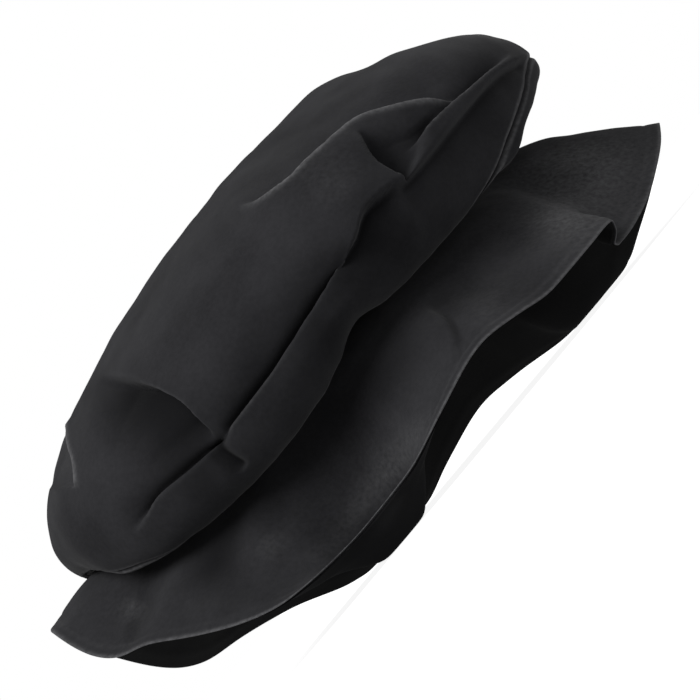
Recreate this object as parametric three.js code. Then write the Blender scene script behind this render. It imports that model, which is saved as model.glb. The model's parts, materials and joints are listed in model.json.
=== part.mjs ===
import * as THREE from 'three';

// A tudor hat of soft black cloth, in millimetres with +Z up. A wide crown, puffed like a large
// beret and folded over itself, is sewn at the head ring to a broad brim that droops in waves.
// The hat stands on its brim at z = 0, with the origin in the middle of its footprint. Azimuths
// are in degrees round the head ring's axis, from +X towards +Y, and the crown's open folds
// face -Y.

// Driving dimensions.
const HEAD_RADIUS = 92.5;      // a head of 58 cm
const RING_HEIGHT = 84;        // where the crown and the brim are sewn together
const CROWN_CLOTH = 1.8;       // wall of the crown
const BRIM_CLOTH = 1.5;        // each layer of the brim
const GAP = 0.3;               // between pieces that touch
const APEX = { x: 30, y: 0, z: 172.4 };   // the crown's top, from the head ring's axis
const HEAD_AXIS = { x: 0, y: 8.9 };       // the head ring's axis, from the origin

// How finely the cloth is divided.
const CROWN_STATIONS = [
  0.02, 0.14, 0.26, 0.36, 0.45, 0.52, 0.58, 0.64, 0.69,
  0.73, 0.765, 0.795, 0.825, 0.85, 0.875, 0.9, 0.93, 0.965, 1,
];
const SIDE_ROWS = 4;
const BRIM_STATIONS = [0, 0.17, 0.34, 0.51, 0.67, 0.79, 0.89, 1];
const PROFILE_STEPS = 40;
const LAP_STEPS = 36;

// The brim's edge: height of its upper cloth, and how steeply the brim leaves the ring, in
// degrees below level.
const BRIM_EDGE = [
  { azimuth: 7, height: 26, leave: 7 },
  { azimuth: 21, height: 13.5, leave: 8 },
  { azimuth: 31, height: 5, leave: 10 },
  { azimuth: 45, height: 2.6, leave: 12 },
  { azimuth: 58, height: 4.5, leave: 12 },
  { azimuth: 72, height: 11.5, leave: 12 },
  { azimuth: 79, height: 13.2, leave: 12 },
  { azimuth: 90, height: 8.5, leave: 12 },
  { azimuth: 99, height: 4, leave: 12 },
  { azimuth: 108, height: 2.6, leave: 12 },
  { azimuth: 115, height: 4, leave: 12 },
  { azimuth: 121, height: 6, leave: 11 },
  { azimuth: 130, height: 21.5, leave: 9 },
  { azimuth: 140, height: 30.5, leave: 6 },
  { azimuth: 149, height: 36, leave: 2 },
  { azimuth: 154, height: 45, leave: 0 },
  { azimuth: 159, height: 66, leave: -4 },
  { azimuth: 168, height: 86, leave: -12 },
  { azimuth: 179, height: 96.5, leave: -21 },
  { azimuth: 192, height: 98.5, leave: -22 },
  { azimuth: 201, height: 95.5, leave: -16 },
  { azimuth: 205, height: 82, leave: -10 },
  { azimuth: 209, height: 68.5, leave: -4 },
  { azimuth: 217, height: 59, leave: 4 },
  { azimuth: 224, height: 44.5, leave: 8 },
  { azimuth: 231, height: 32.5, leave: 12 },
  { azimuth: 240, height: 22.5, leave: 15 },
  { azimuth: 252, height: 17.4, leave: 18 },
  { azimuth: 264, height: 18.3, leave: 16 },
  { azimuth: 274, height: 24.6, leave: 12 },
  { azimuth: 285, height: 30.6, leave: 10 },
  { azimuth: 292, height: 26.6, leave: 10 },
  { azimuth: 300, height: 21.5, leave: 11 },
  { azimuth: 311, height: 21.4, leave: 12 },
  { azimuth: 316, height: 21.8, leave: 12 },
  { azimuth: 318.5, height: 12.4, leave: 12 },
  { azimuth: 323, height: 11, leave: 11 },
  { azimuth: 331, height: 14.4, leave: 9 },
  { azimuth: 343, height: 24, leave: 7 },
  { azimuth: 350, height: 29, leave: 6 },
  { azimuth: 357, height: 34.2, leave: 6 },
];

// How wide the brim is cut, from the ring to the edge, measured along the cloth, and the share
// of that width over which it bends down to its full droop.
const BRIM_CUT = [
  { azimuth: 0, width: 107, bend: 0.5 },
  { azimuth: 24, width: 105, bend: 0.45 },
  { azimuth: 46, width: 112, bend: 0.42 },
  { azimuth: 75, width: 103, bend: 0.42 },
  { azimuth: 108, width: 112, bend: 0.42 },
  { azimuth: 130, width: 103, bend: 0.45 },
  { azimuth: 150, width: 99, bend: 0.55 },
  { azimuth: 180, width: 94, bend: 0.9 },
  { azimuth: 196, width: 94, bend: 0.9 },
  { azimuth: 222, width: 103, bend: 0.5 },
  { azimuth: 254, width: 123.5, bend: 0.4 },
  { azimuth: 282, width: 104, bend: 0.42 },
  { azimuth: 330, width: 104, bend: 0.45 },
];

// Where the brim stands: between two shares of its width its outer cloth turns outwards by the
// angle turn, over about the azimuths spread to each side.
const BRIM_FEET = [
  { azimuth: 254, spread: 14, turn: 126, from: 0.7, to: 0.91 },
  { azimuth: 108, spread: 11, turn: 70, from: 0.68, to: 0.88 },
  { azimuth: 46, spread: 12, turn: 70, from: 0.68, to: 0.88 },
];

// The crown's girth. reach is the plan radius of its widest line and waist that line's height.
// The cloth then rolls under: drop is how far down the perimeter seam lies, tuck how far in,
// and sag about how far the under ring hangs below the seam.
const CROWN_GIRTH = [
  { azimuth: 0, reach: 169, waist: 109, drop: 6, tuck: 4, sag: 5 },
  { azimuth: 20, reach: 166, waist: 106, drop: 7, tuck: 5, sag: 4 },
  { azimuth: 45, reach: 159, waist: 101, drop: 9, tuck: 6, sag: 4 },
  { azimuth: 90, reach: 152, waist: 97, drop: 12, tuck: 12, sag: 3 },
  { azimuth: 140, reach: 157, waist: 106, drop: 9, tuck: 6, sag: 3 },
  { azimuth: 165, reach: 157, waist: 112, drop: 7, tuck: 4, sag: 1 },
  { azimuth: 180, reach: 157, waist: 114, drop: 8, tuck: 4, sag: 0 },
  { azimuth: 197, reach: 158, waist: 111, drop: 9, tuck: 4, sag: 1 },
  { azimuth: 210, reach: 162, waist: 103, drop: 10, tuck: 4, sag: 2 },
  { azimuth: 222, reach: 160, waist: 94, drop: 13, tuck: 10, sag: 2 },
  { azimuth: 235, reach: 155, waist: 88, drop: 15, tuck: 18, sag: 0 },
  { azimuth: 250, reach: 152, waist: 86, drop: 18, tuck: 22, sag: 0 },
  { azimuth: 270, reach: 152, waist: 88, drop: 15, tuck: 20, sag: 0 },
  { azimuth: 290, reach: 154, waist: 89, drop: 15, tuck: 20, sag: 0 },
  { azimuth: 310, reach: 158, waist: 90, drop: 17, tuck: 18, sag: 0 },
  { azimuth: 320, reach: 161, waist: 94, drop: 13, tuck: 8, sag: 6 },
  { azimuth: 333, reach: 165, waist: 99, drop: 9, tuck: 5, sag: 11 },
  { azimuth: 345, reach: 168, waist: 103, drop: 7, tuck: 5, sag: 11 },
];

// Laps: lines along which the crown's cloth folds over itself, drawn on the elevation of the
// side that faces -Y or +Y. The cloth to the left of the line, going from its first point to its
// last, stands out by rise, and the cloth to the right of it is tucked in by sink. Each fades
// over its width.
const CROWN_LAPS = [
  { side: -1, rise: 3.5, riseWidth: 16, sink: 6, sinkWidth: 15,
    line: [[88, 104], [59, 108], [47, 104], [28, 99], [0, 96], [-33, 93], [-88, 96], [-126, 99]] },
  { side: -1, rise: 2.5, riseWidth: 22, sink: 7, sinkWidth: 20,
    line: [[-61, 96], [-58, 113], [-60, 124], [-67, 142], [-81, 160]].reverse() },
  { side: -1, rise: 2.5, riseWidth: 16, sink: 4, sinkWidth: 16,
    line: [[-142, 131], [-123, 126], [-115, 134], [-112, 143], [-106, 153]] },
  { side: -1, rise: 5, riseWidth: 20, sink: 7, sinkWidth: 24,
    line: [[131, 112], [117, 123], [105, 131], [89, 139], [67, 141], [42, 144], [24, 155]] },
  { side: -1, rise: 3, riseWidth: 24, sink: 8, sinkWidth: 15,
    line: [[84, 103], [81, 118], [84, 128], [95, 136]] },
  { side: -1, rise: 3, riseWidth: 10, sink: 5, sinkWidth: 12,
    line: [[84, 103], [124, 103], [146, 103], [163, 99]] },
  { side: 1, rise: 3, riseWidth: 18, sink: 5, sinkWidth: 16,
    line: [[-112, 106], [-60, 103], [0, 108], [62, 104]] },
  { side: 1, rise: 3, riseWidth: 22, sink: 6, sinkWidth: 20,
    line: [[86, 156], [66, 140], [58, 120], [62, 104]] },
  { side: 1, rise: 2.5, riseWidth: 18, sink: 5, sinkWidth: 18,
    line: [[-118, 120], [-96, 138], [-84, 156]] },
];

// Broad dents, pushed in from above around a point of the plan.
const CROWN_DENTS = [
  { x: 142, y: 6, radius: 34, depth: 5.5 },
  { x: -30, y: 62, radius: 46, depth: 6 },
  { x: 62, y: 58, radius: 34, depth: 4 },
  { x: 70, y: -58, radius: 30, depth: 3 },
];

const FINISH = {
  crown: { color: 0x1f1f22, roughness: 0.95, metalness: 0 },
  brim: { color: 0x222225, roughness: 0.95, metalness: 0 },
  facing: { color: 0x0d0d0f, roughness: 0.9, metalness: 0 },
};

const radians = THREE.MathUtils.degToRad;
const { clamp, lerp, smoothstep } = THREE.MathUtils;

// A smooth curve through the rows of a table of azimuths, once round the hat, that doesn't
// swing past the rows: between rows it is a cubic, and its slope at each row is the harmonic
// mean of the slopes to the rows beside it, or level where they turn.
function roundTheHat(rows, key) {
  const count = rows.length;
  const span = rows.map((row, i) => {
    const ahead = rows[(i + 1) % count].azimuth - row.azimuth;
    return ahead > 0 ? ahead : ahead + 360;
  });
  const rise = rows.map((row, i) => (rows[(i + 1) % count][key] - row[key]) / span[i]);
  const slope = rise.map((ahead, i) => {
    const behind = rise[(i + count - 1) % count];
    return ahead * behind > 0 ? (2 * ahead * behind) / (ahead + behind) : 0;
  });
  return (azimuth) => {
    const turned = ((azimuth - rows[0].azimuth) % 360 + 360) % 360;
    let i = 0;
    let start = 0;
    while (start + span[i] < turned && i < count - 1) {
      start += span[i];
      i += 1;
    }
    const t = (turned - start) / span[i];
    const from = rows[i][key];
    const to = rows[(i + 1) % count][key];
    const bend = t * (1 - t);
    return from + (to - from) * t * t * (3 - 2 * t)
      + bend * span[i] * (slope[i] * (1 - t) - slope[(i + 1) % count] * t);
  };
}

// How near an azimuth is to another, from 1 at the same place to 0 far round.
function nearness(azimuth, centre, spread) {
  const apart = Math.abs(((azimuth - centre) % 360 + 540) % 360 - 180);
  return Math.exp(-((apart / spread) ** 2));
}

const brimHeight = roundTheHat(BRIM_EDGE, 'height');
const brimLeave = roundTheHat(BRIM_EDGE, 'leave');
const brimWidth = roundTheHat(BRIM_CUT, 'width');
const brimBend = roundTheHat(BRIM_CUT, 'bend');

// The brim's profile at one azimuth. The cloth leaves the ring at its own slope, bends down to
// its full droop, and turns back out near its edge where it has a foot. The droop is the one
// that brings the edge to its height, found by halving the range of droops.
const LEAST_DROOP = -40;
const PLUMB = 90;
const HALVINGS = 30;

function brimProfile(azimuth) {
  const leave = brimLeave(azimuth);
  const bend = brimBend(azimuth);
  const step = brimWidth(azimuth) / PROFILE_STEPS;
  const turnedOut = (u) => BRIM_FEET.reduce((sum, foot) => {
    const near = nearness(azimuth, foot.azimuth, foot.spread);
    return sum + foot.turn * near * smoothstep(u, foot.from, foot.to);
  }, 0);
  const trace = (droop) => {
    const points = [{ r: HEAD_RADIUS, z: RING_HEIGHT }];
    for (let i = 0; i < PROFILE_STEPS; i += 1) {
      const u = (i + 0.5) / PROFILE_STEPS;
      const down = radians(leave + droop * smoothstep(u, 0, bend) - turnedOut(u));
      const last = points[i];
      points.push({ r: last.r + step * Math.cos(down), z: last.z - step * Math.sin(down) });
    }
    return points;
  };
  let low = LEAST_DROOP;
  let high = PLUMB - leave;
  for (let i = 0; i < HALVINGS; i += 1) {
    const middle = (low + high) / 2;
    if (trace(middle)[PROFILE_STEPS].z > brimHeight(azimuth)) low = middle;
    else high = middle;
  }
  return trace(low);
}

// The weight of the hat presses the cloth of its feet flat: what would be within about PRESS of
// the floor lies on it, and PRESS_REACH is the height at which nothing is pressed any more.
const BRIM_THICK = 2 * BRIM_CLOTH + GAP;
const PRESS = 6;
const PRESS_REACH = 14;

function settled(azimuth, z) {
  const foot = Math.max(...BRIM_FEET.map((f) => nearness(azimuth, f.azimuth, f.spread)));
  const above = z - BRIM_THICK;
  return BRIM_THICK + Math.max(above - foot * PRESS * (1 - smoothstep(above, 0, PRESS_REACH)), 0);
}

// The brim's upper surface, a row of points for each step out from the ring.
function brimGrid(azimuths) {
  const profiles = azimuths.map(brimProfile);
  return BRIM_STATIONS.map((share) => azimuths.map((azimuth, i) => {
    const at = share * PROFILE_STEPS;
    const before = profiles[i][Math.floor(at)];
    const after = profiles[i][Math.min(Math.floor(at) + 1, PROFILE_STEPS)];
    const r = lerp(before.r, after.r, at % 1);
    const z = settled(azimuth, lerp(before.z, after.z, at % 1));
    return new THREE.Vector3(r * Math.cos(radians(azimuth)), r * Math.sin(radians(azimuth)), z);
  }));
}

const girth = Object.fromEntries(['reach', 'waist', 'drop', 'tuck', 'sag']
  .map((key) => [key, roundTheHat(CROWN_GIRTH, key)]));

// A point of the puffed crown before it is folded. along runs from 0 at the apex to 1 at the
// perimeter seam: a quarter of an ellipse down to the widest line, fuller at the front and the
// back by FULLNESS, then a smaller one under it.
const WIDEST_AT = 0.88;
const FULLNESS = 0.18;

function crownPoint(azimuth, along) {
  const reach = girth.reach(azimuth);
  const waist = girth.waist(azimuth);
  const c = Math.cos(radians(azimuth));
  const s = Math.sin(radians(azimuth));
  if (along <= WIDEST_AT) {
    const turn = (along / WIDEST_AT) * Math.PI / 2;
    const out = Math.sin(turn);
    const full = 1 - FULLNESS * Math.abs(s);
    return new THREE.Vector3(
      lerp(APEX.x, reach * c, out),
      lerp(APEX.y, reach * s, out),
      waist + (APEX.z - waist) * Math.cos(turn) ** full,
    );
  }
  const turn = ((along - WIDEST_AT) / (1 - WIDEST_AT)) * Math.PI / 2;
  const r = reach - girth.tuck(azimuth) * (1 - Math.cos(turn));
  return new THREE.Vector3(r * c, r * s, waist - girth.drop(azimuth) * Math.sin(turn));
}

// The laps as smooth lines, each a list of points with how far along the line they are.
const laps = CROWN_LAPS.map((lap) => {
  const curve = new THREE.SplineCurve(lap.line.map(([x, z]) => new THREE.Vector2(x, z)));
  return { ...lap, points: curve.getPoints(LAP_STEPS) };
});

// The soft step of one lap at a point of the elevation. SHARPNESS is half the width over which
// the cloth passes from the tucked side to the raised side.
const SHARPNESS = 7;
const LAP_ENDS = 0.14;

function lapAt(lap, x, z) {
  const at = new THREE.Vector2(x, z);
  const chord = new THREE.Vector2();
  const reach = new THREE.Vector2();
  let nearest = Infinity;
  let signed = 0;
  let along = 0;
  for (let i = 0; i + 1 < lap.points.length; i += 1) {
    chord.subVectors(lap.points[i + 1], lap.points[i]);
    reach.subVectors(at, lap.points[i]);
    const t = clamp(reach.dot(chord) / chord.lengthSq(), 0, 1);
    const left = chord.cross(reach) > 0 ? 1 : -1;
    const distance = reach.addScaledVector(chord, -t).length();
    if (distance < nearest) {
      nearest = distance;
      signed = left * distance;
      along = (i + t) / (lap.points.length - 1);
    }
  }
  const ends = smoothstep(along, 0, LAP_ENDS) * smoothstep(1 - along, 0, LAP_ENDS);
  const raised = lap.rise * Math.exp(-((signed / lap.riseWidth) ** 2));
  const tucked = -lap.sink * Math.exp(-((signed / lap.sinkWidth) ** 2));
  return ends * lerp(tucked, raised, smoothstep(signed, -SHARPNESS, SHARPNESS));
}

// How far the cloth stands out at a point of the crown. A lap works on its own side of the hat
// and fades towards the top line between the sides.
const SIDE_FADE = 40;

function foldDepth(point) {
  let depth = 0;
  for (const lap of laps) {
    const facing = smoothstep(lap.side * point.y, 0, SIDE_FADE);
    if (facing > 0) depth += facing * lapAt(lap, point.x, point.z);
  }
  for (const dent of CROWN_DENTS) {
    const away = Math.hypot(point.x - dent.x, point.y - dent.y) / dent.radius;
    depth -= point.z > girth.waist(0) ? dent.depth * Math.exp(-away * away) : 0;
  }
  return depth;
}

// The outward direction at each point of a grid whose rows go outwards and whose columns go
// once round.
function outwards(grid) {
  return grid.map((row, j) => row.map((_, i) => {
    const count = row.length;
    const across = new THREE.Vector3().subVectors(row[(i + 1) % count], row[(i + count - 1) % count]);
    const inner = grid[Math.max(j - 1, 0)][i];
    const outer = grid[Math.min(j + 1, grid.length - 1)][i];
    return new THREE.Vector3().subVectors(outer, inner).cross(across).normalize();
  }));
}

// The under ring's lower surface at one azimuth, from the perimeter seam at t = 0 in to the head
// ring at t = 1: a curve that hangs a little and meets the brim's slope at the ring.
const RING_LEAD = 14;
const RING_LIFT = 4;
const SAG_PULL = 2.25;

function sidePoint(azimuth, t) {
  const seam = crownPoint(azimuth, 1);
  const seamR = Math.hypot(seam.x, seam.y);
  const ringZ = RING_HEIGHT + GAP;
  const slope = Math.tan(radians(brimLeave(azimuth)));
  const curve = new THREE.CubicBezierCurve(
    new THREE.Vector2(seamR, seam.z),
    new THREE.Vector2(seamR, seam.z - SAG_PULL * girth.sag(azimuth)),
    new THREE.Vector2(HEAD_RADIUS + RING_LEAD, ringZ - RING_LEAD * slope + RING_LIFT),
    new THREE.Vector2(HEAD_RADIUS, ringZ),
  );
  const at = curve.getPoint(t);
  return new THREE.Vector3(at.x * Math.cos(radians(azimuth)), at.x * Math.sin(radians(azimuth)), at.y);
}

// The crown's whole outer surface: the rows of its top from a small ring round the apex to the
// seam, then the rows of its under ring. The folds fade out under the seam.
const SEAM_ROW = CROWN_STATIONS.length - 1;

function crownSurface(azimuths) {
  const plain = [];
  for (const along of CROWN_STATIONS) plain.push(azimuths.map((azimuth) => crownPoint(azimuth, along)));
  for (let row = 1; row < SIDE_ROWS; row += 1) {
    plain.push(azimuths.map((azimuth) => sidePoint(azimuth, row / (SIDE_ROWS - 1))));
  }
  const out = outwards(plain);
  return surface(plain.map((points, j) => points.map((point, i) => {
    const under = clamp((j - SEAM_ROW) / (SIDE_ROWS - 1), 0, 1);
    const folded = under > 0 ? plain[SEAM_ROW][i] : point;
    const depth = foldDepth(folded) * smoothstep(j, 0, 2) * (1 - under) ** 2;
    return point.clone().addScaledVector(out[j][i], depth);
  })));
}

// A surface is a grid of points with the outward direction at each.
function surface(points) {
  return { points, out: outwards(points) };
}

// Some rows of a surface, ending half a gap short of the row that they share with the next piece.
function rowsOf({ points, out }, first, last, shortFirst, shortLast) {
  const cut = points.slice(first, last + 1);
  const pull = (row, towards) => row.map((point, i) => {
    const step = new THREE.Vector3().subVectors(towards[i], point).setLength(GAP / 2);
    return point.clone().add(step);
  });
  if (shortFirst) cut[0] = pull(cut[0], cut[1]);
  if (shortLast) cut[cut.length - 1] = pull(cut[cut.length - 1], cut[cut.length - 2]);
  return { points: cut, out: out.slice(first, last + 1) };
}

// A closed wall of cloth between two depths under a surface. floor is the height of a surface
// that lies flat on the ground: there the layers lie straight above each other, and nothing
// hangs below z = 0. closed joins the first row over in a point.
function wall({ points, out }, from, to, closed, floor) {
  const count = points[0].length;
  const rows = points.length;
  const positions = [];
  for (const depth of [from, to]) {
    points.forEach((row, j) => row.forEach((point, i) => {
      const at = point.clone().addScaledVector(out[j][i], -depth);
      positions.push(at.x, at.y, point.z > floor ? Math.max(at.z, floor - depth) : floor - depth);
    }));
  }
  const faces = [];
  const quad = (a, b, c, d) => faces.push(a, b, c, a, c, d);
  const at = (layer, j, i) => layer * rows * count + j * count + (i % count);
  for (let i = 0; i < count; i += 1) {
    for (let j = 0; j + 1 < rows; j += 1) {
      quad(at(0, j, i), at(0, j + 1, i), at(0, j + 1, i + 1), at(0, j, i + 1));
      quad(at(1, j, i), at(1, j, i + 1), at(1, j + 1, i + 1), at(1, j + 1, i));
    }
    quad(at(0, rows - 1, i), at(1, rows - 1, i), at(1, rows - 1, i + 1), at(0, rows - 1, i + 1));
    if (closed) {
      faces.push(2 * rows * count, at(0, 0, i), at(0, 0, i + 1));
      faces.push(2 * rows * count + 1, at(1, 0, i + 1), at(1, 0, i));
    } else {
      quad(at(0, 0, i), at(0, 0, i + 1), at(1, 0, i + 1), at(1, 0, i));
    }
  }
  if (closed) {
    for (const depth of [from, to]) {
      const centre = new THREE.Vector3();
      points[0].forEach((point) => centre.addScaledVector(point, 1 / count));
      positions.push(centre.x, centre.y, centre.z - depth);
    }
  }
  const geometry = new THREE.BufferGeometry();
  geometry.setAttribute('position', new THREE.Float32BufferAttribute(positions, 3));
  geometry.setIndex(faces);
  geometry.computeVertexNormals();
  return geometry;
}

// Azimuths once round the hat, closer together where a stretch asks for it.
function azimuthsBy(step, stretches) {
  const list = [];
  let azimuth = 0;
  while (azimuth < 359.9) {
    list.push(azimuth);
    const stretch = stretches.find(({ from, to }) => azimuth >= from && azimuth < to);
    azimuth += stretch ? stretch.step : step;
  }
  return list;
}

const crownAzimuths = azimuthsBy(10, [{ from: 190, to: 350, step: 3.4 }]);
const brimAzimuths = azimuthsBy(5, [
  { from: 120, to: 160, step: 4 },
  { from: 196, to: 212, step: 2 },
  { from: 212, to: 312, step: 4 },
  { from: 312, to: 324, step: 1.5 },
  { from: 324, to: 360, step: 4.5 },
]);

function named(name, geometry, finish) {
  const mesh = new THREE.Mesh(geometry, new THREE.MeshStandardMaterial(finish));
  mesh.name = name;
  return mesh;
}

// The crown's two pieces meet edge to edge at the perimeter seam.
const crown = crownSurface(crownAzimuths);
const ringRow = SEAM_ROW + SIDE_ROWS - 1;
const tip = wall(rowsOf(crown, 0, SEAM_ROW, false, true), 0, CROWN_CLOTH, true, -Infinity);
const side = wall(rowsOf(crown, SEAM_ROW, ringRow, true, false), 0, CROWN_CLOTH, false, -Infinity);

// The brim's two layers lie one under the other.
const brim = surface(brimGrid(brimAzimuths));
const top = wall(brim, 0, BRIM_CLOTH, false, BRIM_THICK);
const facing = wall(brim, BRIM_CLOTH + GAP, BRIM_THICK, false, BRIM_THICK);

const group = new THREE.Group();
group.position.set(HEAD_AXIS.x, HEAD_AXIS.y, 0);
group.add(named('crown_tip', tip, FINISH.crown));
group.add(named('crown_side', side, FINISH.crown));
group.add(named('brim_top', top, FINISH.brim));
group.add(named('brim_facing', facing, FINISH.facing));

export default group;
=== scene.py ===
"""A tudor hat of soft black napped cloth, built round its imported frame.

A wide crown, puffed like a large beret and folded over itself, is sewn at the head ring to a
broad brim of two layers, which droops in waves. Shapes are worked out in millimetres round the
head ring's axis, and MM turns them into the frame's metres. Azimuths are in degrees from +X
towards +Y, and the crown's open folds face -Y.
"""

from __future__ import annotations

import json
import logging
import math
from collections.abc import Callable, Sequence
from dataclasses import dataclass, field
from enum import Enum
from typing import NamedTuple, TypeVar

import bpy
import numpy as np
from mathutils import Matrix, Vector

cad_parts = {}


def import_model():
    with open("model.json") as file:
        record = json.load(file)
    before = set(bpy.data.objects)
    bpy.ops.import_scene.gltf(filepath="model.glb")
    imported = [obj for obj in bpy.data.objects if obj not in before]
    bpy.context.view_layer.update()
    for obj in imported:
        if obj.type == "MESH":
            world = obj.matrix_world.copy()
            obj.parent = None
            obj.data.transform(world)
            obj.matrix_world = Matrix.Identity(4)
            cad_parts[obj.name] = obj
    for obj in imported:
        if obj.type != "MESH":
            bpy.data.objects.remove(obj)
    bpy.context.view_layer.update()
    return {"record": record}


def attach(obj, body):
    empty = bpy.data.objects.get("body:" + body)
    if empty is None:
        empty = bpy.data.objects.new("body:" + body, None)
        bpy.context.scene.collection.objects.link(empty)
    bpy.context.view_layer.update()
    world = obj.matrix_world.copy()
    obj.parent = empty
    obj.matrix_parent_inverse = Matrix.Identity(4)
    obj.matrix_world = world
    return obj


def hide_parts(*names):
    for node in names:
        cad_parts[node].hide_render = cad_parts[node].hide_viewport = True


LOG = logging.getLogger("tudor_hat")
MM = 0.001
# Mesh attribute of painted light: a painted highlight above 0, painted shade below 0.
PAINTED_LIGHT = "rubbed_nap"
UP = np.array([0.0, 0.0, 1.0])
Array = np.ndarray
Row = TypeVar("Row")


class Face(Enum):
    """The side of the hat that a fold lies on, as the sign of y there."""

    FRONT = -1
    BACK = 1


class EdgeRow(NamedTuple):
    """The brim's edge at one azimuth: its height and its slope at the ring, below level."""

    azimuth: float
    height: float
    leave: float


class CutRow(NamedTuple):
    """How wide the brim is cut, and the share of that width over which it bends down."""

    azimuth: float
    width: float
    bend: float


class GirthRow(NamedTuple):
    """The crown's widest line at one azimuth and how the cloth rolls under it."""

    azimuth: float
    reach: float
    waist: float
    drop: float
    tuck: float
    sag: float


class Foot(NamedTuple):
    """A stretch where the brim's edge turns out onto the floor."""

    azimuth: float
    spread: float
    turn: float
    start: float
    end: float


class Dent(NamedTuple):
    """A broad dent, pushed in from above around a point of the plan."""

    x: float
    y: float
    radius: float
    depth: float


class Hollow(NamedTuple):
    """A broad hollow of one side's elevation, or a swelling where its depth is below 0.

    Light is painted on its cloth: a highlight where its last value is above 0 and shade where that
    is below 0.
    """

    side: Face
    x: float
    z: float
    wide: float
    high: float
    depth: float
    nap: float = 0.0


class TurnRow(NamedTuple):
    """How far round the brim's edge is pushed at one azimuth of the cloth."""

    azimuth: float
    shift: float


def table(kind: Callable[..., Row], *rows: tuple) -> tuple[Row, ...]:
    """A table of one kind of row, each made from its own values."""
    return tuple(kind(*row) for row in rows)


BRIM_EDGE = table(
    EdgeRow,
    (7, 25, 0),
    (21, 11, 5),
    (31, 3.2, 9),
    (45, 1.6, 12),
    (58, 2.5, 12),
    (72, 9, 12),
    (79, 11.7, 12),
    (90, 7, 12),
    (99, 2.6, 12),
    (108, 1.6, 12),
    (115, 2.6, 12),
    (121, 5.6, 11),
    (130, 19.3, 9),
    (140, 29, 6),
    (149, 34.3, 2),
    (154, 43, 0),
    (159, 64.5, -4),
    (168, 85, -12),
    (179, 96.5, -22),
    (192, 98.5, -22),
    (199, 95.5, -16.5),
    (202.5, 83.5, -11),
    (205, 74, -6),
    (209, 65.8, -3),
    (217, 59, 4),
    (224, 44.5, 8),
    (231, 32.5, 12),
    (240, 22.5, 15),
    (252, 17.4, 18),
    (264, 18.3, 16),
    (274, 24.6, 12),
    (285, 30.6, 10),
    (292, 26.6, 10),
    (300, 21.5, 11),
    (311, 21.4, 12),
    (316, 21.8, 12),
    (317.2, 21, 12),
    (318.5, 17, 12),
    (320, 14.3, 12),
    (321.2, 12.7, 12),
    (322.7, 11.4, 12),
    (325, 11.4, 11),
    (330, 13, 9),
    (334, 15, 9),
    (343, 22.8, 7),
    (350, 28, 3),
    (357, 33.6, 0),
)

BRIM_CUT = table(
    CutRow,
    (0, 108, 0.62),
    (24, 105, 0.45),
    (46, 112, 0.42),
    (75, 103, 0.42),
    (108, 112, 0.42),
    (130, 103, 0.45),
    (152, 102, 0.55),
    (163, 97.5, 0.7),
    (178, 91.5, 0.9),
    (190, 93, 0.9),
    (197, 97.5, 0.85),
    (205, 101, 0.75),
    (222, 103, 0.5),
    (254, 123.5, 0.4),
    (282, 104, 0.42),
    (330, 104, 0.45),
)

BRIM_FEET = table(
    Foot,
    (254, 14, 126, 0.7, 0.91),
    (108, 11, 70, 0.68, 0.88),
    (46, 12, 70, 0.68, 0.88),
)

WAVE_TURNS = table(
    TurnRow,
    (312, 0),
    (316, 0),
    (317.2, 0.8),
    (318.5, 0.3),
    (320, -1.7),
    (321.2, -3.4),
    (322.7, -3.5),
    (325, -2.5),
    (330, -0.6),
    (336, 0),
)

# A seventh value paints a highlight on the brim above 0 and shade below 0; rows with no depth are
# only painted light or shade.
BRIM_HOLLOWS = table(
    Hollow,
    (Face.FRONT, -15, 44, 30, 14, 2.6),
    (Face.FRONT, 97, 54, 26, 12, 3.2),
    (Face.FRONT, 60, 53, 10, 9, 2.0),
    (Face.FRONT, 34, 50, 9, 9, -1.6),
    (Face.FRONT, -30, 60, 40, 11, 0, -0.6),
    (Face.FRONT, -102, 60, 24, 9, 0, -0.75),
    (Face.FRONT, 16, 52, 24, 13, 0, -0.5),
    (Face.FRONT, -14, 29, 22, 8, 0, 0.12),
    (Face.FRONT, 61, 38, 10, 6, 0, 0.1),
    (Face.FRONT, -34, 24, 34, 6, 0, 0.2),
    (Face.FRONT, 114, 40, 10, 14, 0, 0.35),
    (Face.FRONT, 142, 48, 26, 26, 0, 0.6),
    (Face.FRONT, 52, 54, 4, 8, 0, -0.2),
    (Face.FRONT, -134, 79, 9, 6, 0, -0.4),
    (Face.FRONT, -106, 42, 12, 13, 0, -0.4),
    (Face.FRONT, -127, 58, 7, 5, 1.5, 0.2),
    (Face.FRONT, -146, 76, 7, 5, 1.2, 0.25),
    (Face.FRONT, -84, 44, 9, 6, 0, 0.2),
    (Face.BACK, -60, 46, 24, 14, 2.5),
    (Face.BACK, 30, 48, 26, 13, 2.5),
)

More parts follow.
